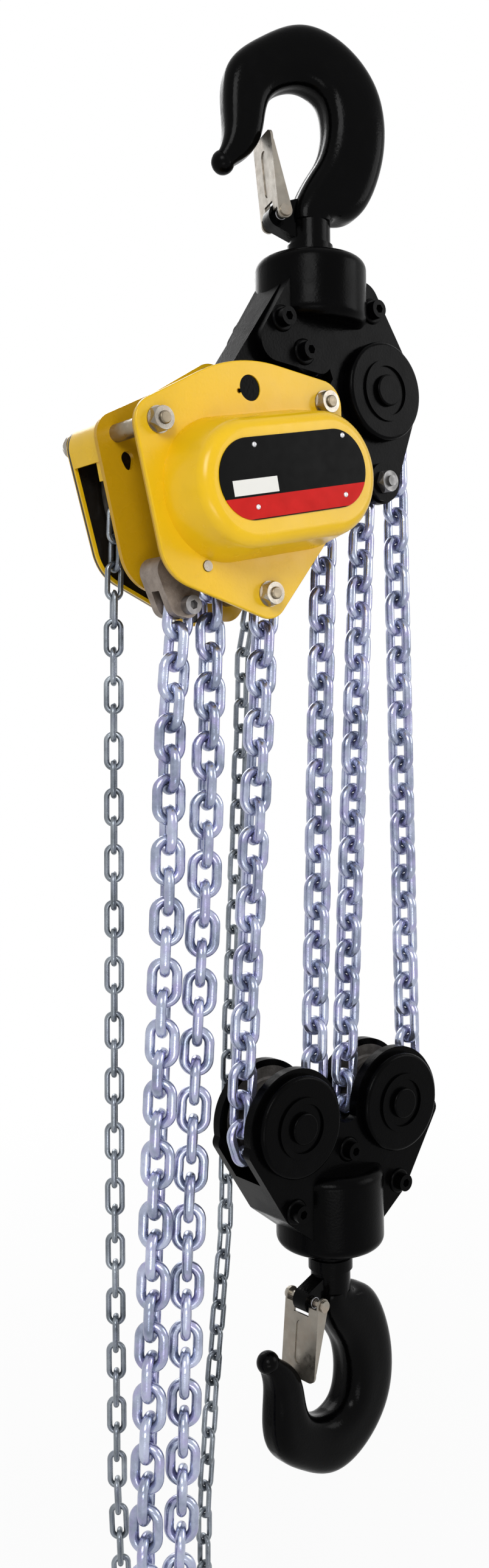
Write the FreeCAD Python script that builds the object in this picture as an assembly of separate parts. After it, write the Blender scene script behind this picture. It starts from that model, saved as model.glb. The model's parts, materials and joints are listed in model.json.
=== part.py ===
import FreeCAD, Part
import math, os
from FreeCAD import Vector as V

os.makedirs("parts", exist_ok=True)

# ---------------------------------------------------------------- driving sizes, mm
# The origin is the load seat of the top hook; +Z is up; the gear cover faces -Y.
LOAD_WIRE = 10.0            # load chain wire
LOAD_PITCH = 30.0           # load chain pitch
LOAD_WIDTH = 34.0           # load chain outer width
HAND_WIRE = 5.6             # hand chain wire
HAND_PITCH = 28.6           # hand chain pitch
HAND_WIDTH = 20.0           # hand chain outer width
LINK_PLAY = 0.5             # gap between two links that hang in each other
FIT = 0.05                  # radial clearance of a running fit
GAP = 0.6                   # clearance between parts that do not touch
SNUG = 0.02                 # radial clearance of a fixed pin

HOOK_SHANK_R = 21.0         # plain shank radius of both hooks
HOOK_SCALE = 1.0            # both hook forgings
TOP_SWIVEL = -18.0          # turn of the top hook about Z, degrees
LOW_SWIVEL = 4.5            # turn of the bottom hook about Z, degrees
SEAT_X = -14.5              # bowl centre beside the shank axis
LOW_SEAT_Z = -1362.0        # load seat of the bottom hook

COLLAR_R = 57.0             # round collar of both blocks
COLLAR_EDGE = 11.0          # rounding of the collars
TOP_COLLAR = (-234.0, -167.0)
LOW_COLLAR = (-1185.0, -1100.0)
CHEEK_Y = 30.0              # half thickness of the blocks
BOSS_Y = 40.0               # sheave bosses stand out to here
SLOT_Y = 19.8               # half width of the sheave slots
SHEAVE_POCKETS = 5          # idler and lower sheaves carry this many link pairs round
CHEEK_R = 56.0              # cheek radius round a sheave
AXLE_R = 13.0               # sheave axles
IDLER = (68.0, -294.0)      # idler sheave centre, x and z
ANCHOR = (71.0, -386.0)     # dead end of the load chain
LOW_X = 12.0                # axis of the lower block
LOW_Z = -1040.0             # lower sheave centres
LOW_HALF = 69.5             # half spacing of the lower sheaves
PIN = (-111.6, -316.5)      # suspension pin of the hoist body
PIN_R = 12.0
LUG_R = 19.0                # lug round the suspension pin
ANCHOR_R = 6.5              # bolt through the last link

BODY_TILT = 11.2            # the body hangs turned about its suspension pin, degrees
PLATE_IN = 30.0             # inner faces of the side plates
PLATE_T = 5.0
COVER_T = 4.0
DOME_Y = -89.0              # front face of the gear cover
WHEEL_END_Y = 102.0         # rear face of the hand wheel cover
AXIS_Z = -79.4              # load sheave axis below the suspension pin
POCKETS = 4                 # pockets of the load sheave
HAND_TEETH = 10             # pockets of the hand wheel
HAND_Y = 80.0               # plane of the hand chain
HAND_TURN = 5.6             # bend of the free hand loop, in pockets of a like wheel
STAYS = ((-113.0, -22.0), (92.0, -20.0), (-18.0, -194.0))
STAY_R = 8.5                # upper stay bolts between the plates
LOWER_STAY_R = 7.0          # lower stay bolt between the plates
STAY_END_R = 6.0            # stay bolt ends
NUT_AF = 22.0
SHAFT_R = 9.0               # drive shaft
GEAR_M = 1.75               # gear module
LOOP_Z = -1590.0            # the free loops turn below here


# ---------------------------------------------------------------- helpers
def cyl(r, h, p, d=(0, 0, 1)):
    return Part.makeCylinder(r, h, V(*p), V(*d))


def ycyl(r, x, z, y0, y1):
    return Part.makeCylinder(r, y1 - y0, V(x, y0, z), V(0, 1, 0))


def box(x0, x1, y0, y1, z0, z1):
    return Part.makeBox(x1 - x0, y1 - y0, z1 - z0, V(x0, y0, z0))


def ring(ro, ri, x, z, y0, y1):
    return ycyl(ro, x, z, y0, y1).cut(ycyl(ri, x, z, y0 - 1, y1 + 1))


def hull(circles, y):
    """Closed outline round circles (x, z, r) given counter-clockwise, at depth y."""
    n = len(circles)
    norm = []
    for i in range(n):
        x1, z1, r1 = circles[i]
        x2, z2, r2 = circles[(i + 1) % n]
        d = math.hypot(x2 - x1, z2 - z1)
        dx, dz = (x2 - x1) / d, (z2 - z1) / d
        a = (r1 - r2) / d
        b = math.sqrt(1 - a * a)
        norm.append((dx * a + dz * b, dz * a - dx * b))
    edges = []
    for i in range(n):
        x, z, r = circles[i]
        x2, z2, r2 = circles[(i + 1) % n]
        a0 = math.atan2(norm[i - 1][1], norm[i - 1][0])
        a1 = math.atan2(norm[i][1], norm[i][0])
        while a1 < a0:
            a1 += 2 * math.pi
        p = [V(x + r * math.cos(t), y, z + r * math.sin(t)) for t in (a0, (a0 + a1) / 2, a1)]
        if a1 - a0 > 1e-4:
            edges.append(Part.Arc(*p).toShape())
        edges.append(Part.makeLine(p[2], V(x2 + r2 * norm[i][0], y, z2 + r2 * norm[i][1])))
    return Part.Wire(edges)


def slab(circles, y0, y1):
    return Part.Face(hull(circles, y0)).extrude(V(0, y1 - y0, 0))


def grown(circles, d):
    return [(x, z, r + d) for x, z, r in circles]


def soften(shape, r, pick):
    """Round the edges that pick(edge) chooses."""
    edges = [e for e in shape.Edges if pick(e)]
    if not edges:
        return shape
    try:
        out = shape.makeFillet(r, edges)
        if out.isValid() and out.Volume > 0:
            return out
    except Exception:
        pass
    return shape


def at_y(y):
    return lambda e: abs(e.BoundBox.YMin - y) < 1e-3 and abs(e.BoundBox.YMax - y) < 1e-3


def at_z(z):
    return lambda e: abs(e.BoundBox.ZMin - z) < 1e-3 and abs(e.BoundBox.ZMax - z) < 1e-3


def hexnut(af, h, x, z, y0, bore, dirn=1):
    r = af / math.sqrt(3)
    pts = [V(x + r * math.cos(math.radians(60 * k + 10)), y0,
             z + r * math.sin(math.radians(60 * k + 10))) for k in range(7)]
    body = Part.Face(Part.makePolygon(pts)).extrude(V(0, dirn * h, 0))
    cone = Part.makeCone(r * 1.06, r * 0.84, h, V(x, y0, z), V(0, dirn, 0))
    body = body.common(cone)
    if bore:
        body = body.cut(ycyl(bore, x, z, min(y0, y0 + dirn * h) - 1, max(y0, y0 + dirn * h) + 1))
    return body


def turned(profile, x, z):
    """Solid of revolution about the Y line through (x, z); profile holds (radius, y)."""
    pts = [V(x + r, y, z) for r, y in profile]
    face = Part.Face(Part.makePolygon(pts + [pts[0]]))
    return face.revolve(V(x, 0, z), V(0, 1, 0), 360)


def on_body(shape):
    s = shape.copy()
    s.rotate(V(0, 0, 0), V(0, 1, 0), -BODY_TILT)
    s.translate(V(PIN[0], 0, PIN[1]))
    return s


def body_point(x, z):
    t = math.radians(BODY_TILT)
    return (PIN[0] + x * math.cos(t) - z * math.sin(t), PIN[1] + x * math.sin(t) + z * math.cos(t))


def save(name, shapes):
    if not isinstance(shapes, list):
        shapes = [shapes]
    solids = [s for sh in shapes for s in sh.Solids]
    out = solids[0] if len(solids) == 1 else Part.makeCompound(solids)
    out.exportStep("parts/" + name + ".step")
    print(name, len(solids), "solids", round(sum(s.Volume for s in solids)))


# ---------------------------------------------------------------- chain
def link(wire, width, inner):
    """One welded link, long axis Z, lying in the XZ plane."""
    r = wire / 2
    big = width / 2 - r
    half = inner / 2 + r - big
    path = Part.Wire([Part.makeLine(V(big, 0, -half), V(big, 0, half)),
                      Part.Arc(V(big, 0, half), V(0, 0, half + big), V(-big, 0, half)).toShape(),
                      Part.makeLine(V(-big, 0, half), V(-big, 0, -half)),
                      Part.Arc(V(-big, 0, -half), V(0, 0, -half - big), V(big, 0, -half)).toShape()])
    pieces = [cyl(r, 2 * half, (s * big, 0, -half)) for s in (1, -1)]
    for s in (1, -1):
        t = Part.makeTorus(big, r, V(0, 0, 0), V(0, 1, 0), -180, 180, 360)
        t = t.common(box(-width, width, -width, width, 0, width))
        if s < 0:
            t.rotate(V(0, 0, 0), V(0, 1, 0), 180)
        t.translate(V(0, 0, s * half))
        pieces.append(t)
    out = pieces[0].multiFuse(pieces[1:])
    return out.removeSplitter()


def chords(pitch, wire):
    """Distances between the joint centres of a standing link and of a flat link."""
    flat = pitch + LINK_PLAY + wire
    return 2 * pitch - flat, flat


def bend_radius(pitch, wire, pockets):
    """Circle through the joint centres of a chain bent round a wheel."""
    stand, flat = chords(pitch, wire)
    b = math.pi / pockets
    return math.sqrt(flat ** 2 + stand ** 2 + 2 * flat * stand * math.cos(b)) / (2 * math.sin(b))


def inner_radius(pitch, wire, pockets, kind):
    """Distance from the wheel axis to the middle of a standing (0) or flat (1) link."""
    return math.sqrt(bend_radius(pitch, wire, pockets) ** 2 - (chords(pitch, wire)[kind] / 2) ** 2)


LOAD_R = bend_radius(LOAD_PITCH, LOAD_WIRE, POCKETS)
SHEAVE_R = bend_radius(LOAD_PITCH, LOAD_WIRE, SHEAVE_POCKETS)
HAND_R = bend_radius(HAND_PITCH, HAND_WIRE, HAND_TEETH)


def wrap(x, y, z, size, pockets, mid, n, first):
    """Links bent round a wheel about the angle mid; returns them and where the two runs join."""
    pitch, wire, width = size
    r = bend_radius(pitch, wire, pockets)
    half = [math.asin(c / (2 * r)) for c in chords(pitch, wire)]
    kinds = [(k + first) % 2 for k in range(n)]
    a = math.radians(mid) - sum(half[k] for k in kinds) + (half[kinds[-1]] - half[kinds[0]]) / 2
    one = link(wire, width, pitch + LINK_PLAY)
    up = math.sin(math.radians(mid)) * (wire + LINK_PLAY) / 2
    ends, out = [], []
    for i, k in enumerate(kinds):
        if i == 0:
            ends.append((x + r * math.cos(a), y, z + r * math.sin(a) + (up if k else -up)))
        b = a + half[k]
        t, rad = V(-math.sin(b), 0, math.cos(b)), V(math.cos(b), 0, math.sin(b))
        side = rad if k else V(0, 1, 0)
        s = one.copy()
        s.Placement = FreeCAD.Placement(V(x, y, z) + rad * (r * math.cos(half[k])),
                                        FreeCAD.Rotation(side.cross(t), side, t, "ZYX"))
        out.append(s)
        a += 2 * half[k]
    ends.append((x + r * math.cos(a), y, z + r * math.sin(a) + (up if kinds[-1] else -up)))
    return out, ends[0], ends[1]


def along(points, s):
    for a, b in zip(points, points[1:]):
        d = a.distanceToPoint(b)
        if s <= d:
            return a + (b - a) * (s / d)
        s -= d
    return points[-1] + (points[-1] - points[-2]).normalize() * s


def ramp(table, t):
    """Straight-line value at t from pairs (t, value)."""
    for (a, p), (b, q) in zip(table, table[1:]):
        if t <= b:
            return p + (q - p) * (t - a) / (b - a)
    return table[-1][1]


def chain(points, pitch, wire, width, spin=((0, 0), (1, 0)), first=0, last=None, count=None):
    """Separate links hung along a path; spin turns the links about the path."""
    pts = [V(*p) for p in points]
    total = sum(a.distanceToPoint(b) for a, b in zip(pts, pts[1:]))
    n = count or max(1, int(math.ceil(total / pitch - 0.02)))
    if last is not None and (n - 1 + first) % 2 != last:
        n += 1
    step = total / n
    joints = [along(pts, k * step) for k in range(n + 1)]
    run = [(b - a).normalize() for a, b in zip(joints, joints[1:])]
    made = {}
    out = []
    for k in range(n):
        a, b, t = joints[k], joints[k + 1], V(run[k])
        turn = max([t.getAngle(run[m]) for m in (k - 1, k + 1) if 0 <= m < n] or [0.0])
        inner = round(a.distanceToPoint(b) + LINK_PLAY + wire * 1.08 * (1 / math.cos(turn / 2) - 1), 1)
        if inner not in made:
            made[inner] = link(wire, width, inner)
        one = made[inner]
        side = V(0, 1, 0)
        side = (side - t * side.dot(t)).normalize()
        ang = ramp(spin, k / max(1.0, n - 1.0)) + 90 * ((k + first) % 2)
        side = FreeCAD.Rotation(t, ang).multVec(side)
        s = one.copy()
        s.Placement = FreeCAD.Placement((a + b) * 0.5,
                                        FreeCAD.Rotation(side.cross(t), side, t, "ZYX"))
        out.append(s)
    return out


def arc_points(x, z, r, a0, a1, n, y=0.0):
    return [(x + r * math.cos(math.radians(a0 + (a1 - a0) * k / n)), y,
             z + r * math.sin(math.radians(a0 + (a1 - a0) * k / n))) for k in range(n + 1)]


# ---------------------------------------------------------------- hooks
# stations: x, z, travel angle, in-plane width, thickness
HOOK_PATH = ((0, -128, 90, 44, 44), (10, -112, 62, 56, 46), (30, -92, 56, 70, 48),
             (43, -66, 76, 70, 50), (48.5, -36, 94, 70, 52), (42.5, 0, 118, 68, 52),
             (21, 25, 152, 66, 50), (-9, 34, 182, 66, 48), (-39, 24, 212, 58, 44),
             (-65, 3, 240, 56, 42), (-71.5, -26, 258, 47, 38), (-74.5, -50, 250, 40, 34),
             (-84, -66.5, 232, 28, 29), (-92, -77, 228, 22, 24))


def hook_body(shank_top):
    wires = []
    for x, z, a, w, t in HOOK_PATH:
        u = V(-math.sin(math.radians(a)), 0, math.cos(math.radians(a)))
        pts = []
        for k in range(16):
            q = 2 * math.pi * k / 16
            squash = 1.0 + 0.06 * math.cos(4 * q) * -1
            pts.append(V(x, 0, z) + u * (w / 2 * math.cos(q) * squash)
                       + V(0, 1, 0) * (t / 2 * math.sin(q) * squash))
        c = Part.BSplineCurve()
        c.interpolate(pts, PeriodicFlag=True)
        wires.append(Part.Wire([c.toShape()]))
    body = Part.makeLoft(wires, True, False)
    x, z, a, w, t = HOOK_PATH[-1]
    body = body.fuse(Part.makeSphere(11.9, V(x - 1, 0, z - 1)))
    body = body.fuse(cyl(HOOK_SHANK_R, -128 - shank_top + 6, (0, 0, shank_top)))
    body = body.fuse(cyl(HOOK_SHANK_R + 2.5, 12, (0, 0, -163)))
    lug = slab([(-36, -126, 12), (-6, -138, 12), (-4, -116, 12)], -9, 9)
    body = body.fuse(lug)
    return body.cut(ycyl(4.0, -36, -126, -30, 30))


LATCH_PIVOT = (-36.0, -126.0)
LATCH_NOSE = (-44.0, -47.0)
LATCH_HALF = 24.0              # half width of the latch
LATCH_T = 2.5                  # latch sheet


def latch():
    """Pressed safety latch, pivot at the lug, nose inside the tip."""
    px, pz = LATCH_PIVOT
    ex, ez = LATCH_NOSE
    l = math.hypot(ex - px, ez - pz)
    a = math.degrees(math.atan2(ez - pz, ex - px))
    w, t, top = LATCH_HALF, LATCH_T, 7.5
    web = box(4, l - 8, -w, w, top - t, top).fuse(box(l - 9, l, 8 - w, w - 8, top - t, top))
    for s in (-1, 1):
        y0, y1 = sorted((s * (w - t), s * w))
        web = web.fuse(cyl(8, t, (l - 8, s * (w - 8), top - t)))
        web = web.fuse(slab([(0, 0, top), (l - 12, top - 1.5, 1.5)], y0, y1))
    web = web.cut(box(-2, 13.5, -10.5, 10.5, top - t - 1, top + 1))
    dent = box(26, l - 20, -6, 6, top - 0.9, top + 1)
    for x in (26, l - 20):
        dent = dent.fuse(cyl(6, 2, (x, 0, top - 0.9)))
    out = web.cut(dent).cut(ycyl(4.0 + FIT, 0, 0, -w - 2, w + 2))
    out.rotate(V(0, 0, 0), V(0, 1, 0), -a)
    out.translate(V(px, 0, pz))
    return out


def latch_pin():
    px, pz = LATCH_PIVOT
    pin, w = ycyl(3.98, px, pz, -LATCH_HALF - 2, LATCH_HALF + 2), LATCH_HALF + 0.4
    return pin.fuse(ycyl(6.0, px, pz, -w - 2.6, -w)).fuse(ycyl(6.0, px, pz, w, w + 2.6))


def latch_spring():
    """Torsion spring in two coils beside the lug."""
    px, pz = LATCH_PIVOT
    coils = []
    for s in (-1, 1):
        c = Part.makeTorus(5.4, 0.6, V(px, s * 12.0, pz), V(0, 1, 0))
        leg = cyl(0.6, 14, (px + 5.4, s * 12.0, pz), (0.25, 0, 0.97))
        coils.append(c.fuse(leg))
    return coils


def hook_nut(z0, z1):
    nut = cyl(37, z1 - z0, (0, 0, z0)).cut(cyl(HOOK_SHANK_R + SNUG, z1 - z0 + 2, (0, 0, z0 - 1)))
    return nut


def place_top(shape):
    s = shape.copy()
    s.rotate(V(0, 0, 0), V(0, 0, 1), TOP_SWIVEL)
    return s


def place_low(shape):
    s = shape.copy()
    s.rotate(V(0, 0, 0), V(1, 0, 0), 180)
    s.rotate(V(0, 0, 0), V(0, 0, 1), LOW_SWIVEL)
    s.translate(V(LOW_X, 0, LOW_SEAT_Z))
    return s


# ---------------------------------------------------------------- blocks
def sheave_slot(x, z, down):
    """Space for a sheave and the chain on it; down tells where the chain leaves."""
    r = SHEAVE_R + LOAD_WIDTH / 2 + 2
    s = ycyl(r, x, z, -SLOT_Y, SLOT_Y)
    far = 120.0 * (-1 if down else 1)
    return s.fuse(box(x - r, x + r, -SLOT_Y, SLOT_Y, min(z, z + far), max(z, z + far)))


def boss(x, z, sy, r=50.0):
    """Raised disc with a ring on one face of a block; sy is the side."""
    y0, y1 = sorted((sy * (CHEEK_Y - 1), sy * BOSS_Y))
    d = ycyl(r, x, z, y0, y1)
    d = soften(d, 4.0, at_y(sy * BOSS_Y))
    y2, y3 = sorted((sy * (BOSS_Y - 1), sy * (BOSS_Y + 2.5)))
    rim = ring(31, 25, x, z, y2, y3)
    return d.fuse(rim)


def bolt_pad(x, z, y, sy, r=13.0):
    y0, y1 = sorted((sy * (y - 6), sy * (y + 3)))
    return soften(ycyl(r, x, z, y0, y1), 2.5, at_y(sy * (y + 3)))


UP_BOLTS = ((-62.0, -240.0), (59.0, -212.0), (-34.0, -268.0))
LOW_BOLTS = ((-72.0, -1127.0), (72.0, -1127.0), (0.0, -1078.0))


def hook_bore(z0, z1, x, up):
    """Stepped bore for a hook shank and its nut."""
    wall = 33.0
    if up:
        return cyl(HOOK_SHANK_R + FIT, wall + 40, (x, 0, z1 - wall - 20)).fuse(
            cyl(37 + GAP, 30, (x, 0, z1 - wall - 30)))
    return cyl(HOOK_SHANK_R + FIT, wall + 40, (x, 0, z0 - 20)).fuse(
        cyl(37 + GAP, 30, (x, 0, z0 + wall)))


def collar(x, z0, z1):
    c = cyl(COLLAR_R, z1 - z0, (x, 0, z0))
    c = soften(c, COLLAR_EDGE, at_z(z0))
    return soften(c, COLLAR_EDGE, at_z(z1))


def upper_block():
    y = CHEEK_Y - 2
    b = slab([(-12, -272, 14), (40, -206, 22), (-24, -190, 18), (-68, -262, 20)], -y, y)
    b = b.fuse(slab([(IDLER[0], IDLER[1], CHEEK_R), (48, -206, 22), (-6, -215, 20)], -y, y))
    arm = slab([(ANCHOR[0], ANCHOR[1], 22), (IDLER[0], IDLER[1], CHEEK_R), (14, -300, 14)], -y, y)
    lug = slab([(PIN[0], PIN[1], LUG_R), (-36, -276, 14), (-24, -190, 18)], -17, 17)
    b = b.fuse([arm, lug, collar(0, *TOP_COLLAR)])
    for s in (-1, 1):
        b = b.fuse(boss(IDLER[0], IDLER[1], s))
        for x, z in UP_BOLTS:
            b = b.fuse(bolt_pad(x, z, CHEEK_Y - 2, s))
        y0, y1 = sorted((s * 20, s * 34))
        b = b.fuse(ycyl(20, ANCHOR[0], ANCHOR[1], y0, y1))
    b = b.cut(sheave_slot(IDLER[0], IDLER[1], True))
    b = b.cut(hook_bore(TOP_COLLAR[0], TOP_COLLAR[1], 0, True))
    holes = [ycyl(AXLE_R + SNUG, IDLER[0], IDLER[1], -60, 60), ycyl(ANCHOR_R + SNUG, *ANCHOR, -60, 60),
             ycyl(PIN_R + SNUG, *PIN, -60, 60)]
    holes += [ycyl(6 + SNUG, x, z, -60, 60) for x, z in UP_BOLTS]
    return b.cut(holes)


def lower_block():
    xs = (LOW_X - LOW_HALF, LOW_X + LOW_HALF)
    parts = []
    for s, x in zip((-1, 1), xs):
        parts.append(slab([(x, LOW_Z, CHEEK_R + 2), (x + 4 * s, LOW_Z - 2, CHEEK_R)], -CHEEK_Y, CHEEK_Y))
    skirt = [(LOW_X, -1168, 26), (LOW_X + 72, -1126, 15), (LOW_X + 122, LOW_Z - 18, 9), (xs[1], LOW_Z, 50),
             (xs[0], LOW_Z, 50), (LOW_X - 122, LOW_Z - 18, 9), (LOW_X - 72, -1126, 15)]
    web = slab(skirt, -CHEEK_Y, CHEEK_Y)
    notch = slab([(LOW_X, LOW_Z + 10, 20), (LOW_X + 40, LOW_Z + 90, 20), (LOW_X - 40, LOW_Z + 90, 20)],
                 -90, 90)
    b = web.cut(notch).fuse(parts)
    b = b.fuse(collar(LOW_X, *LOW_COLLAR))
    for s in (-1, 1):
        for x in xs:
            b = b.fuse(boss(x, LOW_Z, s, 52.0))
        for x, z in LOW_BOLTS:
            b = b.fuse(bolt_pad(LOW_X + x, z, CHEEK_Y, s))
    for x in xs:
        b = b.cut(sheave_slot(x, LOW_Z, False))
    b = b.cut(hook_bore(LOW_COLLAR[0], LOW_COLLAR[1], LOW_X, False))
    holes = [ycyl(AXLE_R + SNUG, x, LOW_Z, -60, 60) for x in xs]
    holes += [ycyl(6 + SNUG, LOW_X + x, z, -60, 60) for x, z in LOW_BOLTS]
    return b.cut(holes)


def halves(block):
    big = 3000.0
    front = block.common(box(-big, big, -200, 0, -big, big))
    rear = block.common(box(-big, big, 0, 200, -big, big))
    return front, rear


def through_bolt(x, z, half, r=6.0, af=19.0):
    """Socket bolt and nut across a block."""
    b = ycyl(r, x, z, -half - 4, half + 4)
    head = ycyl(9.0, x, z, -half - 9, -half).cut(
        hexnut(8, 5, x, z, -half - 9.5, 0))
    return b.fuse(head).fuse(hexnut(af, 8, x, z, half, 0))


def axle(x, z):
    a = ycyl(AXLE_R, x, z, -BOSS_Y - 1, BOSS_Y + 1)
    for s in (-1, 1):
        y0, y1 = sorted((s * BOSS_Y, s * (BOSS_Y + 5)))
        cap = soften(ycyl(16.0, x, z, y0, y1), 2.0, at_y(s * (BOSS_Y + 5)))
        a = a.fuse(cap)
    return a


def sheave(x, z):
    stand, flat = [inner_radius(LOAD_PITCH, LOAD_WIRE, SHEAVE_POCKETS, k) for k in (0, 1)]
    seat = flat - LOAD_WIRE / 2 - GAP
    floor = stand - LOAD_WIDTH / 2 - GAP
    w, g = LOAD_WIDTH / 2 + GAP, LOAD_WIRE / 2 + 1.2
    bore = AXLE_R + FIT
    p = [(bore, -w - 1.6), (seat + 12, -w - 1.6), (seat + 13, -w), (seat + 2, -w), (seat, -w + 2), (seat, -g),
         (floor, -g), (floor, g), (seat, g), (seat, w - 2), (seat + 2, w), (seat + 13, w),
         (seat + 12, w + 1.6), (bore, w + 1.6)]
    return turned(p, x, z)


# ---------------------------------------------------------------- hoist body, local frame at the pin
SHIELD = [(-18, -194, 24), (56, -108, 43), (90, -22, 25), (-8, -140, 166), (-113, -25, 25),
          (-88, -133, 46)]
WHEEL_SHAPE = [(-14, -192, 25), (62, -104, 46), (90, -24, 24), (12, 12, 26), (-103, -28, 24),
               (-74, -124, 46)]
REAR_PLATE = [(-18, -194, 22), (56, -108, 41), (90, -22, 23), (10, 10, 22), (-113, -25, 23),
              (-88, -133, 44)]
GUARD_PIN = (-86.0, -158.0)


def plate_holes(end_r):
    h = [ycyl(end_r + SNUG, x, z, -200, 200) for x, z in STAYS]
    return h


def gear_side_plate():
    p = slab(grown(SHIELD, -2), -PLATE_IN - PLATE_T, -PLATE_IN)
    p = p.cut(plate_holes(STAY_END_R))
    p = p.cut([ycyl(27 + SNUG, 0, AXIS_Z, -60, 0), ycyl(PIN_R + SNUG, 0, 0, -60, 0),
               ycyl(6 + SNUG, *GUARD_PIN, -60, 0)])
    for gx, gz in GEAR_POS:
        p = p.cut(ycyl(5 + SNUG, gx, gz, -60, 0))
    return p


def wheel_side_plate():
    p = slab(REAR_PLATE, PLATE_IN, PLATE_IN + PLATE_T)
    p = p.cut(plate_holes(STAY_END_R))
    p = p.cut([ycyl(27 + SNUG, 0, AXIS_Z, 0, 60), ycyl(PIN_R + SNUG, 0, 0, 0, 60),
               ycyl(6 + SNUG, *GUARD_PIN, 0, 60)])
    return p.cut(slab([(-106, -52, 5), (-106, -46, 7)], 0, 60))


DOME_BASE = [(44, -91, 68), (-54, -91, 68)]
DOME_TOP = [(44, -91, 57), (-54, -91, 57)]
PLATE_SHAPE = [(48, -88, 37), (-58, -88, 37)]


def dome(grow, y0, y1):
    return Part.makeLoft([hull(grown(DOME_BASE, grow), y0), hull(grown(DOME_TOP, grow), y1)], True, True)


def gear_cover():
    yf = -PLATE_IN - PLATE_T - COVER_T
    outer = dome(0, yf + 2, DOME_Y)
    outer = soften(outer, 13.0, at_y(DOME_Y))
    flange = slab(SHIELD, yf, yf + COVER_T)
    flange = soften(flange, 1.5, at_y(yf))
    c = flange.fuse(outer)
    c = soften(c, 7.0, lambda e: at_y(yf)(e) and e.BoundBox.XMax < 114 and e.BoundBox.XMin > -123
               and e.BoundBox.ZMin > -161 and e.BoundBox.ZMax < -20)
    inner = dome(-4.5, yf + COVER_T + 1, DOME_Y + 4.5)
    c = c.cut(inner)
    c = c.cut(plate_holes(STAY_END_R))
    return c.cut([ycyl(PIN_R + 0.4, 0, 0, -60, 0), ycyl(5.4, *GUARD_PIN, -60, 0), ycyl(2.6, -14, -2, -60, 0),
                  ]).cut([ycyl(1.5 + SNUG, x, z, -120, -60) for x, z in RIVETS])


RIVETS = ((-49.0, -58.0), (61.0, -58.0), (-56.0, -113.5), (54.0, -113.5))


def hand_wheel_cover():
    y0, y1, t = PLATE_IN + PLATE_T, WHEEL_END_Y, 3.5
    rear = slab(WHEEL_SHAPE, y1 - t, y1)
    rear = soften(rear, 2.0, at_y(y1))
    wall = slab(WHEEL_SHAPE, y0, y1 - t + 0.5).cut(slab(grown(WHEEL_SHAPE, -t), y0 - 1, y1 + 1))
    lower = wall.common(box(-200, 200, y1 - 8, y1, -300, -44))
    upper = wall.common(box(-200, 200, y0, y1, -44, 100))
    right = wall.common(box(60, 200, y0, y1, -120, -43))
    c = rear.fuse([upper, lower, right])
    tab = box(-124, -116, y0, y0 + 22, -62, -43)
    c = c.fuse(tab.common(slab(WHEEL_SHAPE, y0, y1)))
    c = c.cut(plate_holes(STAY_END_R))
    for x, z in STAYS:
        c = c.fuse(ring(8.5, STAY_END_R + SNUG, x, z, y0, y1 - 1))
    return c.cut(ycyl(14, 0, AXIS_Z, y1 - 10, y1 + 5))


def stay_bolt(x, z):
    b = ycyl(LOWER_STAY_R if z < AXIS_Z else STAY_R, x, z, -PLATE_IN, PLATE_IN)
    b = b.fuse(ycyl(STAY_END_R, x, z, -PLATE_IN - 22, WHEEL_END_Y + 12))
    b = soften(b, 1.5, at_y(-PLATE_IN - 22))
    return soften(b, 1.5, at_y(WHEEL_END_Y + 12))


def stay_nuts(front):
    out = []
    for x, z in STAYS:
        if front:
            y = -PLATE_IN - PLATE_T - COVER_T
            w = ring(12.5, STAY_END_R + SNUG, x, z, y - 1.6, y)
            out.append(w.fuse(hexnut(NUT_AF, 9, x, z, y - 1.6, STAY_END_R + SNUG, -1)))
        else:
            y = WHEEL_END_Y
            w = ring(12.5, STAY_END_R + SNUG, x, z, y, y + 1.6)
            out.append(w.fuse(hexnut(NUT_AF, 9, x, z, y + 1.6, STAY_END_R + SNUG, 1)))
    return out


def suspension_pin():
    p = ycyl(PIN_R, 0, 0, -PLATE_IN - PLATE_T - COVER_T + 1, PLATE_IN + PLATE_T + 2)
    return p


def name_plate():
    p = slab(PLATE_SHAPE, DOME_Y - 1.0, DOME_Y)
    return p.cut([ycyl(1.5 + SNUG, x, z, -120, -60) for x, z in RIVETS])


def plate_rivets():
    out = []
    for x, z in RIVETS:
        stem = ycyl(1.5, x, z, DOME_Y - 1.0, DOME_Y + 3.5)
        head = Part.makeSphere(2.8, V(x, DOME_Y - 0.2, z)).common(
            box(x - 5, x + 5, DOME_Y - 9, DOME_Y - 1.0, z - 5, z + 5))
        out.append(stem.fuse(head))
    return out


# gear train: pinion on the drive shaft, two disc gears, load gear
PINION_T = 12
DISC_T = 44
SMALL_T = 14
LOAD_T = 42
GEAR_DIST = GEAR_M * (PINION_T + DISC_T) / 2
GEAR_POS = ((-GEAR_DIST, AXIS_Z), (GEAR_DIST, AXIS_Z))
GEAR_Y = (-66.0, -78.0, -47.0, -40.5)   # disc gears, load gear


def gear(teeth, x, z, y0, y1, phase, bore):
    """Straight-sided spur gear in the XZ plane."""
    rp = GEAR_M * teeth / 2
    ra, rf = rp + GEAR_M * 0.9, rp - GEAR_M * 1.2
    pts = []
    for k in range(teeth):
        a = math.radians(phase + 360.0 * k / teeth)
        p = 2 * math.pi / teeth
        for r, f in ((rf, -0.31), (rp, -0.19), (ra, -0.07), (ra, 0.07), (rp, 0.19), (rf, 0.31)):
            pts.append(V(x + r * math.cos(a + f * p), y0, z + r * math.sin(a + f * p)))
    pts.append(pts[0])
    g = Part.Face(Part.makePolygon(pts)).extrude(V(0, y1 - y0, 0))
    return g.cut(ycyl(bore, x, z, y0 - 1, y1 + 1)) if bore else g


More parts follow.
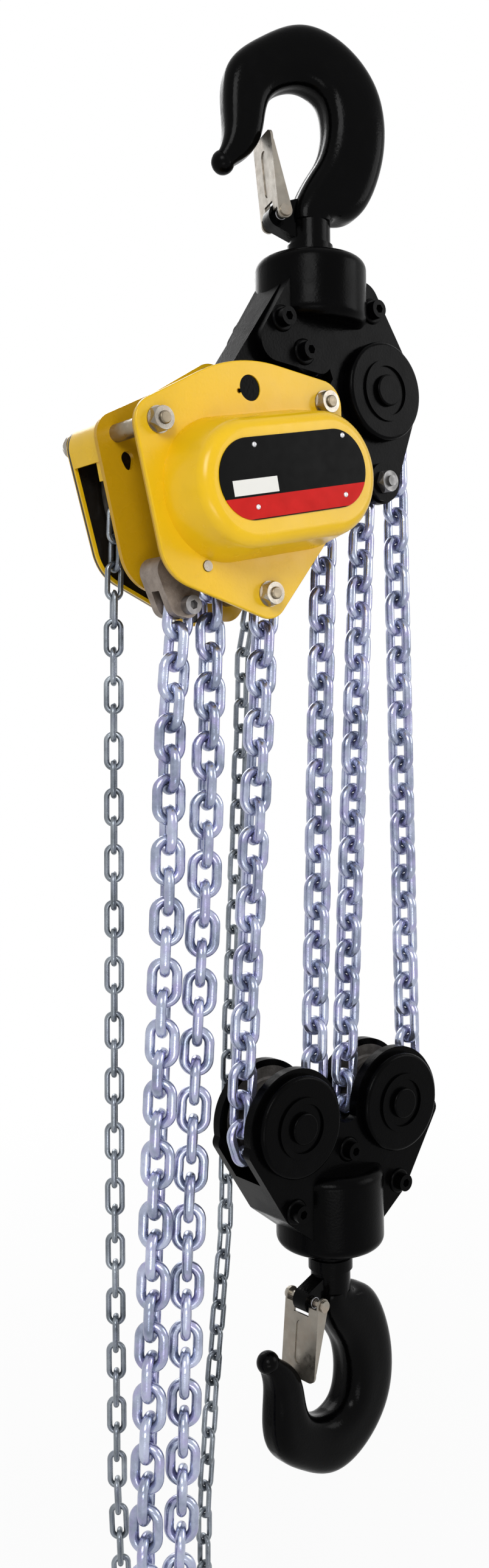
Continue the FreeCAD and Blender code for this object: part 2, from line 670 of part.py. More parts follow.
def load_sheave():
    """Pocketed sheave with the load gear spline at its front end."""
    stand, ap = [inner_radius(LOAD_PITCH, LOAD_WIRE, POCKETS, k) for k in (0, 1)]
    floor = stand - LOAD_WIDTH / 2 - GAP
    w = 21.0
    e = LOAD_WIDTH / 2 + GAP
    p = [(SHAFT_R + FIT, -49), (15, -49), (15, -39.8), (24, -39.8), (24, -w - 5), (30, -w - 5), (ap + 8, -w),
         (ap + 8, -e), (ap - 4, -e), (ap - 4, e), (ap + 8, e), (ap + 8, w), (30, w + 5), (24, w + 5),
         (24, 35), (SHAFT_R + FIT, 35)]
    s = turned(p, 0, AXIS_Z)
    s = s.cut(ring(60, floor, 0, AXIS_Z, -LOAD_WIRE / 2 - 1, LOAD_WIRE / 2 + 1))
    pocket = link(LOAD_WIRE + 2 * GAP, LOAD_WIDTH + 2 * GAP, LOAD_PITCH - 2 * GAP)
    for k in range(POCKETS):
        c = pocket.copy()
        c.rotate(V(0, 0, 0), V(0, 0, 1), 90)
        c.translate(V(ap, 0, 0))
        fill = box(ap - 2, ap + 20, -LOAD_WIDTH / 2 - GAP, LOAD_WIDTH / 2 + GAP, -26, 26)
        c = c.fuse(fill)
        c.rotate(V(0, 0, 0), V(0, 1, 0), -(360.0 / POCKETS * k + 360.0 / POCKETS / 4 - BODY_TILT))
        c.translate(V(0, 0, AXIS_Z))
        s = s.cut(c)
    return s


def bearing(y0, y1):
    return ring(27, 24 + FIT, 0, AXIS_Z, y0, y1)


def drive_shaft():
    s = ycyl(SHAFT_R, 0, AXIS_Z, -49, WHEEL_END_Y - 5)
    s = s.fuse(gear(PINION_T, 0, AXIS_Z, GEAR_Y[1] - 1, GEAR_Y[0] + 1, 0, 0))
    return s.fuse(ycyl(8, 0, AXIS_Z, GEAR_Y[0], -48))


def disc_gear(k):
    gx, gz = GEAR_POS[k]
    big = gear(DISC_T, gx, gz, GEAR_Y[1], GEAR_Y[0], 180.0 / DISC_T, 5 + FIT)
    small = gear(SMALL_T, gx, gz, GEAR_Y[2] - 0.5, GEAR_Y[3] + 0.5, 180.0 / SMALL_T, 5 + FIT)
    hub = ycyl(9.5, gx, gz, GEAR_Y[0] - 0.2, -PLATE_IN - PLATE_T - 0.4)
    return big.fuse([small, hub]).cut(ycyl(5 + FIT, gx, gz, -90, -30))


def gear_stud(k):
    gx, gz = GEAR_POS[k]
    s = ycyl(5, gx, gz, GEAR_Y[1] - 3, -PLATE_IN)
    return s


def brake_parts():
    """Brake hub, friction discs and ratchet disc on the rear of the shaft."""
    hub = ring(34, SHAFT_R + SNUG, 0, AXIS_Z, 37, 42).fuse(ring(17, SHAFT_R + SNUG, 0, AXIS_Z, 37, 60))
    discs = [ring(33, 17 + FIT, 0, AXIS_Z, 42, 45), ring(33, 17 + FIT, 0, AXIS_Z, 51, 54)]
    n, ro, ri = 20, 42.0, 36.5
    pts = []
    for k in range(n):
        a = 2 * math.pi * k / n
        pts.append(V(ro * math.cos(a), 45, AXIS_Z + ro * math.sin(a)))
        pts.append(V(ri * math.cos(a + 0.06), 45, AXIS_Z + ri * math.sin(a + 0.06)))
    pts.append(pts[0])
    rat = Part.Face(Part.makePolygon(pts)).extrude(V(0, 6, 0)).cut(ycyl(17 + FIT, 0, AXIS_Z, 40, 60))
    return hub, discs, rat


PAWLS = ((-31.5, -34.0, 50.0), (34.0, -122.0, -130.0))


def pawl(k):
    x, z, a = PAWLS[k]
    p = slab([(0, 0, 7), (16, -4.5, 2.0), (15, 3, 2.5)], 45.2, 50.8)
    p = p.cut(ycyl(3.5 + FIT, 0, 0, 40, 60))
    dx, dz = -x, AXIS_Z - z
    ang = math.degrees(math.atan2(dz, dx)) + 66.0
    p.rotate(V(0, 0, 0), V(0, 1, 0), -ang)
    p.translate(V(x, 0, z))
    return p


def pawl_stud(k):
    x, z, a = PAWLS[k]
    return ycyl(3.5, x, z, PLATE_IN + PLATE_T, 53).fuse(ycyl(5.5, x, z, 51.5, 53)).fuse(
        ring(6, 3, x, z, PLATE_IN + PLATE_T, 44.6))


def pawl_spring(k):
    x, z, a = PAWLS[k]
    return Part.makeTorus(7.4, 0.7, V(x, 43.4, z), V(0, 1, 0))


def hand_wheel():
    """Pocketed hand wheel with web and hub."""
    stand, ap = [inner_radius(HAND_PITCH, HAND_WIRE, HAND_TEETH, k) for k in (0, 1)]
    y = HAND_Y
    floor = stand - HAND_WIDTH / 2 - GAP
    e = HAND_WIDTH / 2 + GAP + 0.2
    ro = HAND_R + 8.0
    prof = [(floor - 9, y - 9), (floor - 4, y - 13.5), (ro, y - 15), (ro, y - 12.6), (ap + 4, y - e),
            (ap - 1.8, y - e), (ap - 1.8, y + e), (ap + 4, y + e), (ro, y + 12.6), (ro, y + 15),
            (floor - 4, y + 13.5), (floor - 9, y + 9)]
    w = turned(prof, 0, AXIS_Z)
    w = w.cut(ring(ro + 4, floor, 0, AXIS_Z, y - HAND_WIRE / 2 - 0.8, y + HAND_WIRE / 2 + 0.8))
    for k in range(HAND_TEETH):
        c = box(ap - HAND_WIRE / 2 - GAP, ro + 5, y - HAND_WIDTH / 2 - GAP, y + HAND_WIDTH / 2 + GAP,
                -HAND_PITCH / 2 - HAND_WIRE - 2, HAND_PITCH / 2 + HAND_WIRE + 2)
        c.rotate(V(0, 0, 0), V(0, 1, 0), -(360.0 / HAND_TEETH * (k + 0.25) - BODY_TILT))
        c.translate(V(0, 0, AXIS_Z))
        w = w.cut(c)
    web = ring(floor - 8, SHAFT_R + SNUG, 0, AXIS_Z, y - 5, y + 3)
    hub = ring(24, SHAFT_R + SNUG, 0, AXIS_Z, 61, y + 8)
    face = ring(33, 17.5, 0, AXIS_Z, 54, 61).cut(ycyl(17.5, 0, AXIS_Z, 50, 60.5))
    ribs = [box(-3, 3, y - 18, y - 4, 22, floor - 6) for k in range(6)]
    out = w.fuse([web, hub, face])
    for k, r in enumerate(ribs):
        r.rotate(V(0, 0, 0), V(0, 1, 0), 60 * k)
        r.translate(V(0, 0, AXIS_Z))
        out = out.fuse(r)
    return out


def wheel_nut():
    n = hexnut(24, 6, 0, AXIS_Z, HAND_Y + 8, SHAFT_R + SNUG, 1)
    return n


def tail_anchor():
    """Cast arm on a cross pin; its fork holds the last link."""
    ax, az = TAIL
    arm = slab([(ax, az, 12), (GUARD_PIN[0], GUARD_PIN[1], 10), (GUARD_PIN[0] - 26, GUARD_PIN[1] + 2, 14),
                (ax - 8, az + 4, 13)], -15, 15)
    tube = ycyl(10, GUARD_PIN[0], GUARD_PIN[1], -PLATE_IN + 0.2, PLATE_IN - 0.2)
    a = arm.fuse(tube).cut(ycyl(6 + SNUG, *GUARD_PIN, -60, 60))
    a = a.cut(box(ax - 40, ax + 20, -6, 6, az - 30, az + 18))
    return a.cut(ycyl(5 + SNUG, ax, az, -40, 40))


TAIL = (-98.0, -191.0)


def tail_anchor_pin():
    ax, az = TAIL
    p = ycyl(5, ax, az, -16, 20)
    h = ycyl(9, ax, az, -24, -15).cut(hexnut(8, 5.5, ax, az, -24.5, 0))
    return p.fuse(h).fuse(hexnut(14, 5, ax, az, 15, 0, 1))


def guard_pin():
    x, z = GUARD_PIN
    p = ycyl(6, x, z, -PLATE_IN - PLATE_T, PLATE_IN + PLATE_T)
    return p.fuse(ycyl(5, x, z, -PLATE_IN - PLATE_T - COVER_T - 1.5, -PLATE_IN - PLATE_T))


def chain_guide():
    """Curved guard over the load sheave, held between the plates."""
    r = LOAD_R + LOAD_WIDTH / 2 + 3
    out = []
    for s, lo, hi in ((-1, 4, 44), (1, -8, 20)):
        g = ring(r + 7, r, 0, AXIS_Z, -24, 24)
        x0, x1 = sorted((s * 20, s * 100))
        g = g.common(box(x0, x1, -30, 30, AXIS_Z + lo, AXIS_Z + hi))
        foot = ycyl(9, s * (r + 8), AXIS_Z + (lo + hi) / 2, -PLATE_IN, PLATE_IN)
        out.append(g.fuse(foot).cut(ycyl(r, 0, AXIS_Z, -60, 60)))
    return out


def stripper():
    """Finger that lifts the chain out of the pockets."""
    ap = inner_radius(LOAD_PITCH, LOAD_WIRE, POCKETS, 1)
    foot = slab([(-14, AXIS_Z - ap - 18, 7.5), (-17, AXIS_Z - ap - 30, 7.5)], -PLATE_IN, PLATE_IN)
    finger = slab([(-15, AXIS_Z - ap - 20, 7), (8, AXIS_Z - ap + 3, 3), (-10, AXIS_Z - ap + 3, 3)], -3.5, 3.5)
    return foot.fuse(finger)


def anchor_bolt():
    x, z = ANCHOR
    b = ycyl(ANCHOR_R, x, z, -36, 36)
    n = hexnut(22, 8, x, z, -34, 0, -1).fuse(ycyl(5.5, x, z, -45, -34))
    return b.fuse(n).fuse(hexnut(24, 7, x, z, 34, 0, 1))


# ---------------------------------------------------------------- write every node
def strands():
    cx, cz = body_point(0, AXIS_Z)
    xl, xr = LOW_X - LOW_HALF, LOW_X + LOW_HALF
    size = (LOAD_PITCH, LOAD_WIRE, LOAD_WIDTH)
    tail = body_point(*TAIL)
    drive, d0, d1 = wrap(cx, 0, cz, size, POCKETS, 90, 4, 1)
    idler, i0, i1 = wrap(IDLER[0], 0, IDLER[1], size, SHEAVE_POCKETS, 90, 5, 0)
    left, l0, l1 = wrap(xl, 0, LOW_Z, size, SHEAVE_POCKETS, 270, 5, 0)
    right, r0, r1 = wrap(xr, 0, LOW_Z, size, SHEAVE_POCKETS, 270, 5, 0)
    out = {}
    out["load_fall_1"] = chain([d0, l0], *size, first=0, last=1, spin=((0, 0), (0.5, 12), (1, 0)))
    out["load_fall_2"] = chain([l1, i1], *size, first=1, last=1)
    out["load_fall_3"] = chain([r0, (ANCHOR[0], 0, ANCHOR[1] + ANCHOR_R + 0.4)], *size, first=1, last=0)
    out["load_fall_4"] = chain([i0, r1], *size, first=1, last=1)
    # the free loop hangs in two runs with one link across the bottom
    reach, drop = chords(LOAD_PITCH, LOAD_WIRE)[1] / 2, (LOAD_WIRE + LINK_PLAY) / 2
    bx, by = -207.0, 3.0
    down = chain([d1, (-137, -4, -560), (-143, -7, -641), (-151.5, -5, -818), (-171.6, 0, -1114),
                  (-186, 0, -1412), (-191, 2, -1490), (bx + reach, by, LOOP_Z - drop)],
                 *size, first=1, last=0,
                 spin=((0, 0), (0.12, 0), (0.4, 38), (0.88, 38), (0.97, 0), (1, 0)))
    across = chain([(bx + LOAD_PITCH / 2, by, LOOP_Z), (bx - LOAD_PITCH / 2, by, LOOP_Z)], *size,
                   first=1, count=1)
    rise = chain([(bx - reach, by, LOOP_Z - drop), (-226, 4, -1480), (-225, 4, -1396), (-206, 6, -1106),
                  (-188, 4, -815), (-182.5, 2, -641), (tail[0], 0, tail[1] + 5.4)],
                 *size, first=0, last=0,
                 spin=((0, 0), (0.03, 0), (0.12, -52), (0.6, -52), (0.9, 0), (1, 0)))
    out["load_chain_slack"] = down[2:] + across + rise
    out["load_chain_upper_wraps"] = drive + down[:2] + idler
    out["load_chain_lower_wraps"] = left + right
    size = (HAND_PITCH, HAND_WIRE, HAND_WIDTH)
    wheel, h0, h1 = wrap(cx, HAND_Y, cz, size, HAND_TEETH, 90, 10, 1)
    turn, t0, t1 = wrap(-145, HAND_Y + 12, LOOP_Z, size, HAND_TURN, 270, 5, 0)
    fall = chain([h1, (-191, HAND_Y + 4, -520), (-202, HAND_Y + 4, -1069), (-206, HAND_Y + 4, -1400), t0], *size, first=1, last=1,
                 spin=((0, 0), (0.06, 0), (0.12, 38), (0.9, 38), (1, 0)))
    back = chain([t1, (-84, 103, -1480), (-66, 111, -1370), (-43, 112, -1190), (-33, 112, -970),
                  (-22, 108, -760), (-17.7, 102, -628), (-18, 98, -560), (-9, 82, -470), h0],
                 *size, first=1, last=0)
    out["hand_chain_on_wheel"] = wheel + fall[:2] + back[-2:]
    out["hand_chain_loop"] = fall[2:] + turn + back[:-2]
    return out


def main():
    body = hook_body(-226)
    save("top_hook", place_top(body))
    save("top_hook_nut", hook_nut(-228.0, -200.5))
    save("top_hook_latch", place_top(latch()))
    save("top_hook_latch_pin", place_top(latch_pin()))
    save("top_hook_latch_spring", [place_top(s) for s in latch_spring()])
    low = hook_body(-240)
    save("bottom_hook", place_low(low))
    nut = hook_nut(-238.0, -210.5)
    save("bottom_hook_nut", place_low(nut))
    save("bottom_hook_latch", place_low(latch()))
    save("bottom_hook_latch_pin", place_low(latch_pin()))
    save("bottom_hook_latch_spring", [place_low(s) for s in latch_spring()])
    f, r = halves(upper_block())
    save("upper_block_front", f)
    save("upper_block_rear", r)
    save("upper_block_bolts", [through_bolt(x, z, CHEEK_Y + 1) for x, z in UP_BOLTS])
    save("idler_axle", axle(*IDLER))
    save("idler_sheave", sheave(*IDLER))
    save("chain_anchor_bolt", anchor_bolt())
    f, r = halves(lower_block())
    save("lower_block_front", f)
    save("lower_block_rear", r)
    save("lower_block_bolts", [through_bolt(LOW_X + x, z, CHEEK_Y + 3) for x, z in LOW_BOLTS])
    xs = (LOW_X - LOW_HALF, LOW_X + LOW_HALF)
    save("lower_axles", [axle(x, LOW_Z) for x in xs])
    save("lower_sheave_left", sheave(xs[0], LOW_Z))
    save("lower_sheave_right", sheave(xs[1], LOW_Z))
    for name, shape in strands().items():
        save(name, shape)
    save("suspension_pin", on_body(suspension_pin()))
    save("gear_side_plate", on_body(gear_side_plate()))
    save("wheel_side_plate", on_body(wheel_side_plate()))
    save("gear_cover", on_body(gear_cover()))
    save("hand_wheel_cover", on_body(hand_wheel_cover()))
    save("stay_bolts", [on_body(stay_bolt(x, z)) for x, z in STAYS])
    save("stay_nuts", [on_body(s) for front in (True, False) for s in stay_nuts(front)])
    save("name_plate", on_body(name_plate()))
    save("name_plate_rivets", [on_body(s) for s in plate_rivets()])
    save("load_sheave", on_body(load_sheave()))
    save("sheave_bearings", [on_body(bearing(-PLATE_IN - 5, -27)), on_body(bearing(27, PLATE_IN + 5))])
    save("load_gear", on_body(gear(LOAD_T, 0, AXIS_Z, GEAR_Y[2], GEAR_Y[3], 0, 15 + SNUG)))
    save("drive_shaft", on_body(drive_shaft()))
    for k, side in enumerate(("left", "right")):
        save("disc_gear_" + side, on_body(disc_gear(k)))
        save("pawl_" + side, on_body(pawl(k)))
    save("plate_studs", [on_body(gear_stud(k)) for k in (0, 1)] + [on_body(pawl_stud(k)) for k in (0, 1)])
    save("pawl_springs", [on_body(pawl_spring(k)) for k in (0, 1)])
    hub, discs, rat = brake_parts()
    save("brake_hub", on_body(hub))
    save("friction_discs", [on_body(d) for d in discs])
    save("ratchet_disc", on_body(rat))
    save("hand_wheel", on_body(hand_wheel()))
    save("wheel_nut", on_body(wheel_nut()))
    save("tail_anchor", on_body(tail_anchor()))
    save("tail_anchor_pin", on_body(tail_anchor_pin()))
    save("tail_anchor_rivet", on_body(guard_pin()))
    save("chain_guides", [on_body(g) for g in chain_guide()])
    save("chain_stripper", on_body(stripper()))


main()
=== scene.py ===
import json
import math
import bpy
import bmesh
from mathutils import Matrix, Vector

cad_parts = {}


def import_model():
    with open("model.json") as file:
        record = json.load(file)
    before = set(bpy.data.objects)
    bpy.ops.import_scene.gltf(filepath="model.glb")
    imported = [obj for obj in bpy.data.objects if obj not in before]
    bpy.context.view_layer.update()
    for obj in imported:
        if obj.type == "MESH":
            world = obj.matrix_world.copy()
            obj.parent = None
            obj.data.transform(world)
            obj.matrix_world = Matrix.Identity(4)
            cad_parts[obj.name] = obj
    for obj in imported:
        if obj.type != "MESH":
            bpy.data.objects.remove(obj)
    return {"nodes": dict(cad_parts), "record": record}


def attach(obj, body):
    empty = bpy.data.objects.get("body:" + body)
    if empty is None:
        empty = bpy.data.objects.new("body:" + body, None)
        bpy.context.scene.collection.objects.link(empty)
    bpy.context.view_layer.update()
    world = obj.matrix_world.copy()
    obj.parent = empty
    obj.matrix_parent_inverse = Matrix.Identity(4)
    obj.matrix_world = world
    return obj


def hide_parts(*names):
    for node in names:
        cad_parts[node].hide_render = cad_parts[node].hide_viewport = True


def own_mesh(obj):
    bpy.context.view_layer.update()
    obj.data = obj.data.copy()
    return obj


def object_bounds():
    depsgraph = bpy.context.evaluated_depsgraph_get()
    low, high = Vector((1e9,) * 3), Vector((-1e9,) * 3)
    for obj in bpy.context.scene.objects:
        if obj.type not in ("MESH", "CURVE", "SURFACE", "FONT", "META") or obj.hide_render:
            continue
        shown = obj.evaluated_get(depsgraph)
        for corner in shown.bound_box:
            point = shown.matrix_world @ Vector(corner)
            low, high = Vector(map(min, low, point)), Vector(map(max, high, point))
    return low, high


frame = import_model()
CAD_BOX = [list(v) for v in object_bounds()]
NODES = frame["nodes"]


# ---------------------------------------------------------------- materials
def new_material(name):
    m = bpy.data.materials.new(name)
    m.use_nodes = True
    t = m.node_tree
    return m, t, t.nodes["Principled BSDF"]


def noise(t, scale, detail=3.0, rough=0.5):
    """Noise in the piece's own coordinates."""
    co = t.nodes.new("ShaderNodeTexCoord")
    n = t.nodes.new("ShaderNodeTexNoise")
    n.inputs["Scale"].default_value = scale
    n.inputs["Detail"].default_value = detail
    n.inputs["Roughness"].default_value = rough
    t.links.new(co.outputs["Object"], n.inputs["Vector"])
    return n.outputs["Fac"]


def span(t, fac, lo, hi, a=0.3, b=0.7):
    """Maps a to lo and b to hi, and holds the ends."""
    n = t.nodes.new("ShaderNodeMapRange")
    n.inputs["From Min"].default_value = a
    n.inputs["From Max"].default_value = b
    n.inputs["To Min"].default_value = lo
    n.inputs["To Max"].default_value = hi
    t.links.new(fac, n.inputs["Value"])
    return n.outputs["Result"]


def mix(t, fac, a, b):
    """Mixes two colours; each argument is a value or an output."""
    n = t.nodes.new("ShaderNodeMix")
    n.data_type = "RGBA"
    for i, v in ((0, fac), (6, a), (7, b)):
        if hasattr(v, "is_output"):
            t.links.new(v, n.inputs[i])
        else:
            n.inputs[i].default_value = v if i == 0 else (*v, 1.0)
    return n.outputs[2]


def bump(t, p, parts):
    """Adds bumps, each (height output, strength, distance in metres)."""
    last = None
    for h, s, d in parts:
        b = t.nodes.new("ShaderNodeBump")
        b.inputs["Strength"].default_value = s
        b.inputs["Distance"].default_value = d
        t.links.new(h, b.inputs["Height"])
        if last:
            t.links.new(last, b.inputs["Normal"])
        last = b.outputs["Normal"]
    t.links.new(last, p.inputs["Normal"])


def within(t, out, lo, hi):
    """One where the output lies between lo and hi."""
    n = t.nodes.new("ShaderNodeMath")
    n.operation = "COMPARE"
    n.inputs[1].default_value, n.inputs[2].default_value = (lo + hi) / 2, (hi - lo) / 2
    t.links.new(out, n.inputs[0])
    return n.outputs[0]


def enamel(name, base, worn, rough, ior=1.45, peel=0.15, dust=0.12, painted_inner_shade=None):
    """Sprayed enamel; the last argument is (low, high, colour) of painted shade, a dark band on an inner
    face across Y.
    """
    m, t, p = new_material(name)
    broad = noise(t, 9.0, 4.0)
    col = mix(t, span(t, broad, 0.0, 1.0), [c * 0.92 for c in base], [min(1.0, c * 1.06) for c in base])
    grime = noise(t, 38.0, 6.0, 0.65)
    col = mix(t, span(t, grime, 0.0, dust, 0.52, 0.78), col, worn)
    if painted_inner_shade:
        # Painted shade: a near-black band across Y darkens the inner face, standing in for the shade
        # inside the cover.
        co, xyz = t.nodes.new("ShaderNodeTexCoord"), t.nodes.new("ShaderNodeSeparateXYZ")
        t.links.new(co.outputs["Object"], xyz.inputs["Vector"])
        col = mix(t, within(t, xyz.outputs["Y"], painted_inner_shade[0], painted_inner_shade[1]), col, painted_inner_shade[2])
    t.links.new(col, p.inputs["Base Color"])
    t.links.new(span(t, noise(t, 60.0, 4.0), rough * 0.8, rough * 1.35), p.inputs["Roughness"])
    p.inputs["IOR"].default_value = ior
    bump(t, p, [(noise(t, 420.0, 2.0), peel, 0.0004), (noise(t, 45.0, 3.0), 0.10, 0.0012)])
    return m


def plate(name, node):
    """Black name plate, left bare, with a red band below and an empty white field."""
    m, t, p = new_material(name)
    turn = Matrix.Rotation(math.radians(PLATE_TURN), 4, "Y") @ Matrix.Translation((-PIN[0], 0.0, -PIN[1]))
    at = turn @ node.matrix_world
    co, mp, xyz = (t.nodes.new("ShaderNode" + k) for k in ("TexCoord", "Mapping", "SeparateXYZ"))
    mp.inputs["Location"].default_value = at.translation
    mp.inputs["Rotation"].default_value = at.to_euler()
    t.links.new(co.outputs["Object"], mp.inputs["Vector"])
    t.links.new(mp.outputs["Vector"], xyz.inputs["Vector"])

    both = t.nodes.new("ShaderNodeMath")
    both.operation = "MULTIPLY"
    t.links.new(within(t, xyz.outputs["X"], *FIELD_ACROSS), both.inputs[0])
    t.links.new(within(t, xyz.outputs["Z"], *FIELD_UP), both.inputs[1])
    black = mix(t, span(t, noise(t, 40.0, 5.0), 0.0, 1.0), (0.0012, 0.0012, 0.0012), (0.003, 0.003, 0.003))
    red = mix(t, span(t, noise(t, 60.0, 4.0), 0.0, 1.0), (0.60, 0.018, 0.016), (0.50, 0.014, 0.012))
    col = mix(t, within(t, xyz.outputs["Z"], *RED_BAND), black, red)
    col = mix(t, both.outputs[0], col, (0.80, 0.79, 0.75))
    t.links.new(col, p.inputs["Base Color"])
    t.links.new(span(t, noise(t, 90.0, 3.0), 0.30, 0.42), p.inputs["Roughness"])
    p.inputs["IOR"].default_value = 1.12
    bump(t, p, [(noise(t, 300.0, 2.0), 0.06, 0.0003)])
    return m


def plated(name, bright, dull, rough, tint=None, grain=0.2, fine=900.0, metal=1.0):
    m, t, p = new_material(name)
    p.inputs["Metallic"].default_value = metal
    n1 = noise(t, 24.0, 5.0, 0.6)
    col = mix(t, span(t, n1, 0.0, 1.0, 0.35, 0.68), bright, dull)
    if tint:
        col = mix(t, span(t, noise(t, 75.0, 3.0), 0.0, 0.65, 0.45, 0.7), col, tint)
    t.links.new(col, p.inputs["Base Color"])
    t.links.new(span(t, noise(t, 160.0, 4.0), rough * 0.7, rough * 1.4), p.inputs["Roughness"])
    bump(t, p, [(noise(t, fine, 2.0), grain, 0.0002), (noise(t, 130.0, 3.0), 0.12, 0.0006)])
    return m


def cast(name, base, light, rough, metal=0.6):
    m, t, p = new_material(name)
    p.inputs["Metallic"].default_value = metal
    col = mix(t, span(t, noise(t, 55.0, 7.0, 0.7), 0.0, 1.0, 0.35, 0.7), base, light)
    t.links.new(col, p.inputs["Base Color"])
    t.links.new(span(t, noise(t, 200.0, 3.0), rough * 0.85, rough * 1.2), p.inputs["Roughness"])
    bump(t, p, [(noise(t, 620.0, 4.0), 0.45, 0.0005), (noise(t, 90.0, 3.0), 0.2, 0.001)])
    return m


PIN = (-0.1116, -0.3165)        # suspension pin of the body
PLATE_TURN = 11.2               # undoes the tilt of the body
RED_BAND = (-0.124, -0.104)     # heights on the name plate, below the pin
FIELD_ACROSS = (-0.081, -0.028)
FIELD_UP = (-0.102, -0.088)
INNER_FACE = (0.0965, 0.0995)   # inner face of the hand wheel cover, across Y

MAT = {
    "yellow_enamel": enamel("yellow_enamel", (0.80, 0.49, 0.007), (0.50, 0.27, 0.012), 0.22, 1.38),
    "black_enamel": enamel("black_enamel", (0.0008, 0.0008, 0.0009), (0.004, 0.004, 0.0045), 0.22,
                           1.11, 0.35, 0.35),
    "hook_enamel": enamel("hook_enamel", (0.0008, 0.0008, 0.0009), (0.0035, 0.0035, 0.004), 0.17,
                          1.13, 0.35, 0.3),
    "zinc_chain": plated("zinc_chain", (0.50, 0.54, 0.68), (0.17, 0.20, 0.28), 0.21,
                         (0.38, 0.34, 0.58), 0.4, metal=0.88),
    "zinc_fastener": plated("zinc_fastener", (0.40, 0.37, 0.32), (0.20, 0.18, 0.15), 0.26,
                            (0.32, 0.25, 0.19), metal=0.85),
    "latch_sheet": plated("latch_sheet", (0.30, 0.275, 0.235), (0.22, 0.20, 0.17), 0.34,
                          (0.25, 0.21, 0.17), 0.03, metal=0.85),
    "plain_steel": plated("plain_steel", (0.46, 0.46, 0.47), (0.28, 0.28, 0.29), 0.34),
    "cast_grey": cast("cast_grey", (0.05, 0.045, 0.04), (0.13, 0.12, 0.11), 0.50),
    "plate_print": plate("plate_print", NODES["name_plate"]),
    "aluminium_rivet": plated("aluminium_rivet", (0.75, 0.75, 0.76), (0.56, 0.56, 0.58), 0.26),
    "friction_lining": cast("friction_lining", (0.10, 0.06, 0.04), (0.20, 0.13, 0.09), 0.75, 0.0),
    "spring_steel": plated("spring_steel", (0.34, 0.34, 0.36), (0.20, 0.20, 0.22), 0.32),
}
OWN = {
    "tail_anchor": cast("tail_brown", (0.17, 0.135, 0.11), (0.32, 0.27, 0.23), 0.42, 0.6),
    # Hand wheel cover: its inner face gets painted shade, a near-black band standing in for the dark
    # inside of the cover around the wheel.
    "hand_wheel_cover": enamel("cover_enamel_inner_shade", (0.80, 0.49, 0.007), (0.50, 0.27, 0.012), 0.22, 1.38,
                               painted_inner_shade=(*INNER_FACE, (0.010, 0.008, 0.006))),
    # Painted shade: the wheel and gear side plates get a darker copy of the yellow enamel, standing for
    # the shade on them; they carry the same paint as the covers.
    "wheel_side_plate": enamel("shaded_plate_enamel", (0.52, 0.29, 0.005), (0.36, 0.19, 0.01), 0.26, 1.38),
    "stay_bolts": plated("stay_zinc", (0.30, 0.25, 0.18), (0.12, 0.10, 0.07), 0.34, metal=0.9),
    "chain_anchor_bolt": plated("dull_zinc", (0.26, 0.25, 0.25), (0.12, 0.12, 0.12), 0.42),
    "hand_chain_loop": plated("hand_zinc", (0.30, 0.33, 0.36), (0.10, 0.115, 0.13), 0.28,
                              (0.22, 0.24, 0.29), 0.3, metal=0.85),
}
OWN["hand_chain_on_wheel"] = OWN["hand_chain_loop"]
OWN["tail_anchor_pin"] = OWN["chain_anchor_bolt"]
OWN["gear_side_plate"] = OWN["wheel_side_plate"]

for part in frame["record"]["subparts"]:
    o = NODES[part["node"]]
    o.data.materials.clear()
    o.data.materials.append(OWN.get(part["node"]) or MAT[part["material_slot"]])


def fall(node):
    """A run of load chain, copied from its CAD node and attached to the hoist in its place."""
    src = NODES[node]
    o = bpy.data.objects.new(node + "_run", src.data.copy())
    o.matrix_world = src.matrix_world
    bpy.context.collection.objects.link(o)
    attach(o, "hoist")
    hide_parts(node)
    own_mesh(o)


for node, fixed in (("load_fall_1", -0.394388), ("load_fall_2", -0.294), ("load_fall_3", -0.38),
                    ("load_fall_4", -0.294)):
    fall(node)


# ---------------------------------------------------------------- camera, light, surroundings
def camera():
    """Stands at the left of the hoist, a little above its middle."""
    data = bpy.data.cameras.new("camera")
    data.sensor_fit = "VERTICAL"
    data.sensor_height = 36.0
    data.lens = 30.44
    data.clip_start, data.clip_end = 0.05, 50.0
    fwd = Vector((0.616474, 0.786128, -0.044305))
    up = Vector((0.038684, 0.025961, 0.998914))
    o = bpy.data.objects.new("camera", data)
    m = Matrix((fwd.cross(up), up, -fwd)).transposed().to_4x4()
    m.translation = (-0.907115, -1.036031, -0.636754)
    o.matrix_world = m
    bpy.context.collection.objects.link(o)
    bpy.context.scene.camera = o


def seen_white(t):
    """One for rays from the camera, off gloss and through glass."""
    lp = t.nodes.new("ShaderNodeLightPath")
    fac = lp.outputs["Is Camera Ray"]
    for k in ("Is Glossy Ray", "Is Transmission Ray"):
        n = t.nodes.new("ShaderNodeMath")
        n.operation = "MAXIMUM"
        t.links.new(fac, n.inputs[0])
        t.links.new(lp.outputs[k], n.inputs[1])
        fac = n.outputs[0]
    return fac


def world():
    """Soft light on the object, and plain white behind it and in its reflections."""
    w = bpy.data.worlds.new("studio")
    bpy.context.scene.world = w
    w.use_nodes = True
    t = w.node_tree
    t.nodes.clear()
    out = t.nodes.new("ShaderNodeOutputWorld")
    soft, white = t.nodes.new("ShaderNodeBackground"), t.nodes.new("ShaderNodeBackground")
    soft.inputs["Color"].default_value = (1.0, 1.0, 1.0, 1.0)
    soft.inputs["Strength"].default_value = 0.36
    white.inputs["Strength"].default_value = 1.0
    white.inputs["Color"].default_value = (1.0, 1.0, 1.0, 1.0)
    m = t.nodes.new("ShaderNodeMixShader")
    t.links.new(seen_white(t), m.inputs["Fac"])
    t.links.new(soft.outputs[0], m.inputs[1])
    t.links.new(white.outputs[0], m.inputs[2])
    t.links.new(m.outputs[0], out.inputs["Surface"])


def area(name, at, to, size, power):
    d = bpy.data.lights.new(name, "AREA")
    d.size = size
    d.energy = power
    o = bpy.data.objects.new(name, d)
    o.location = at
    o.rotation_euler = (Vector(to) - Vector(at)).to_track_quat("-Z", "Y").to_euler()
    bpy.context.collection.objects.link(o)


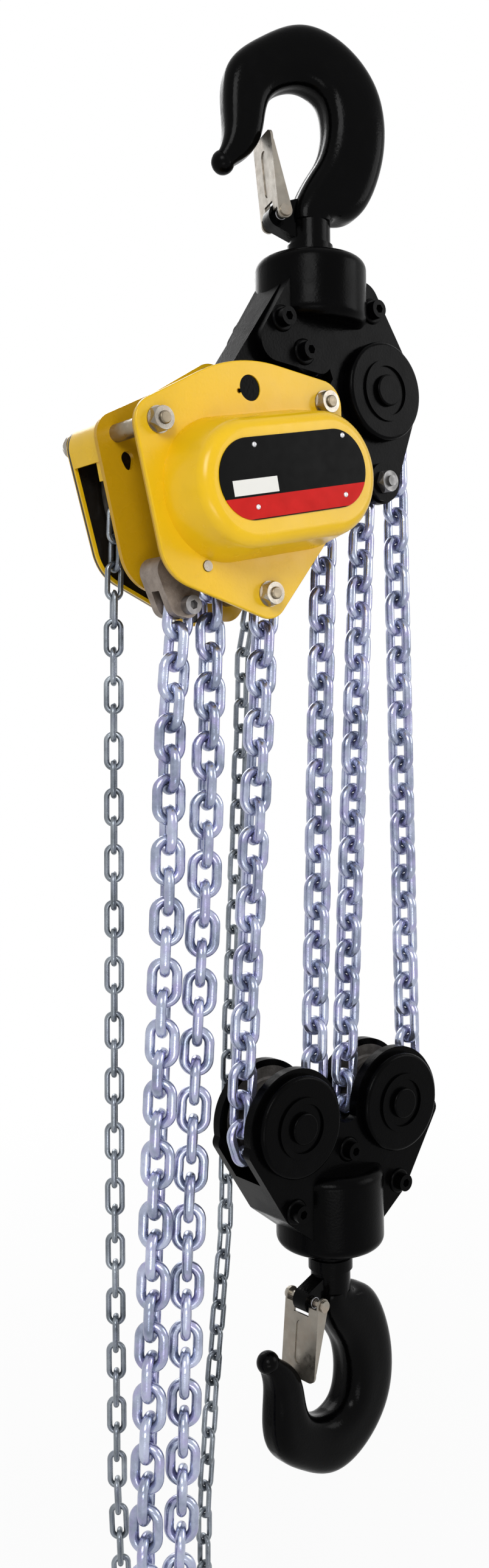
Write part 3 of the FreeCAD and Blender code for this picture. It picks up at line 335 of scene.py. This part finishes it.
def floor(z):
    """Pale disc that glows almost white, with a faint shadow under the object."""
    bm = bmesh.new()
    corners = []
    for k in range(FLOOR_SIDES):
        turn = 2 * math.pi * k / FLOOR_SIDES
        corners.append(bm.verts.new((FLOOR_R * math.cos(turn), FLOOR_R * math.sin(turn), 0.0)))
    bm.faces.new(corners)
    me = bpy.data.meshes.new("floor")
    bm.to_mesh(me)
    bm.free()
    o = bpy.data.objects.new("floor", me)
    o.location.z = z
    bpy.context.collection.objects.link(o)
    m = bpy.data.materials.new("floor")
    m.use_nodes = True
    t = m.node_tree
    p = t.nodes["Principled BSDF"]
    p.inputs["Base Color"].default_value = (0.85, 0.85, 0.85, 1.0)
    p.inputs["Roughness"].default_value = 0.9
    glow, weight, m2 = (t.nodes.new("ShaderNode" + k) for k in ("Emission", "Math", "MixShader"))
    weight.operation = "MULTIPLY"
    co, far = t.nodes.new("ShaderNodeTexCoord"), t.nodes.new("ShaderNodeVectorMath")
    far.operation = "LENGTH"
    t.links.new(co.outputs["Object"], far.inputs[0])
    t.links.new(span(t, far.outputs["Value"], 0.88, 1.0, 0.3, 3.0), weight.inputs[1])
    t.links.new(seen_white(t), weight.inputs[0])
    t.links.new(weight.outputs[0], m2.inputs["Fac"])
    t.links.new(p.outputs[0], m2.inputs[1])
    t.links.new(glow.outputs[0], m2.inputs[2])
    t.links.new(m2.outputs[0], t.nodes["Material Output"].inputs["Surface"])
    me.materials.append(m)
    return o


FLOOR_SIDES = 48
FLOOR_R = 14.0
FLOOR_DROP = 0.25               # the floor lies this far below the lowest link

camera()
world()
MID = (0.0, 0.0, -0.65)
area("key", (-2.4, -2.6, 1.2), (-0.1, 0, -0.5), 1.6, 75.0)
area("fill", (2.6, -2.2, 0.4), MID, 1.8, 34.0)
area("back", (0.6, 2.8, 0.8), MID, 1.8, 34.0)
area("low", (-1.2, -2.0, -1.9), (0, 0, -1.1), 1.2, 18.0)
floor(CAD_BOX[0][2] - FLOOR_DROP)
bpy.context.scene.view_settings.view_transform = "Standard"
